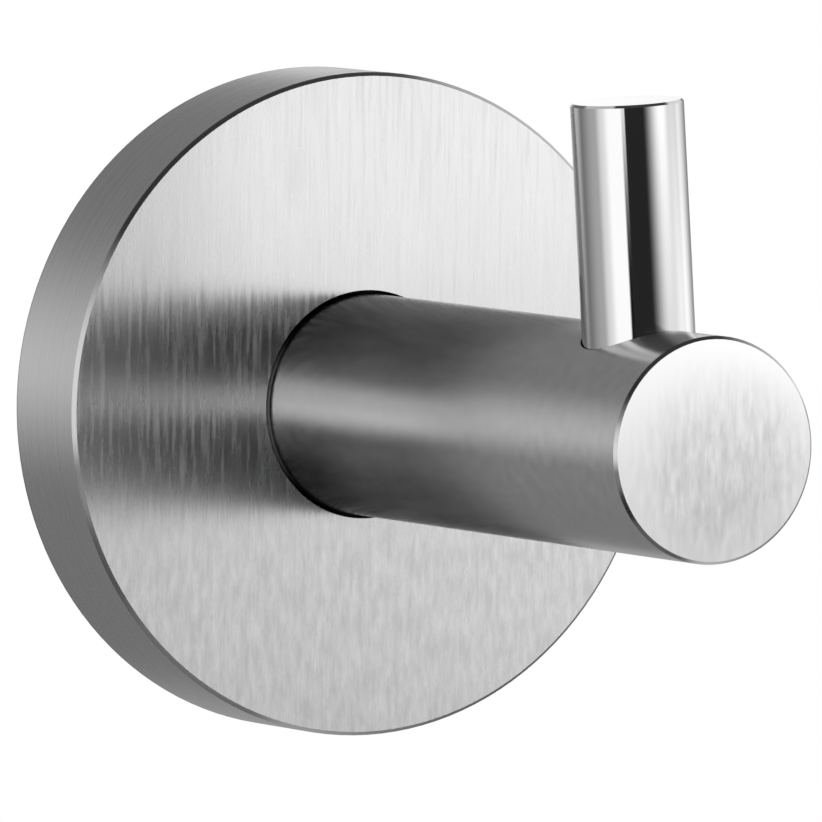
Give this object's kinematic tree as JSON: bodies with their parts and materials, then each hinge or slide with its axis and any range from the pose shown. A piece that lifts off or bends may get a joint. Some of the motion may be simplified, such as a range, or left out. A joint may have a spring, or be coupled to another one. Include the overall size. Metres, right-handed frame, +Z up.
{
  "type": "robe hook",
  "caption": "Round wall-mounted robe hook: a disc flange carries a thick round post with a slim upright peg near its end, on a hidden wall bracket.",
  "frame": {"origin": "centre of the flange's back on the wall plane, on the post's axis and midway between the bracket's screw holes", "axes": "+Y into the wall, so the hook stands out along -Y; +Z up, the way the peg points; +X to the right seen from the front"},
  "size_m": [0.054, 0.066, 0.054],
  "materials": {
    "brushed_stainless": "stainless steel, brushed straight up and down on its face",
    "satin_bar": "stainless steel bar, fine satin",
    "polished_peg": "stainless steel, mirror polished",
    "screw_steel": "plain stainless steel",
    "washer_steel": "plain spring steel",
    "bracket_zinc": "pressed steel sheet, zinc plated"
  },
  "bodies": {
    "root": {"flange": "brushed_stainless", "post": "satin_bar", "peg": "polished_peg", "post_screw": "screw_steel", "spring_washer": "washer_steel", "wall_bracket": "bracket_zinc", "grub_screw": "screw_steel"}
  },
  "joints": []
}
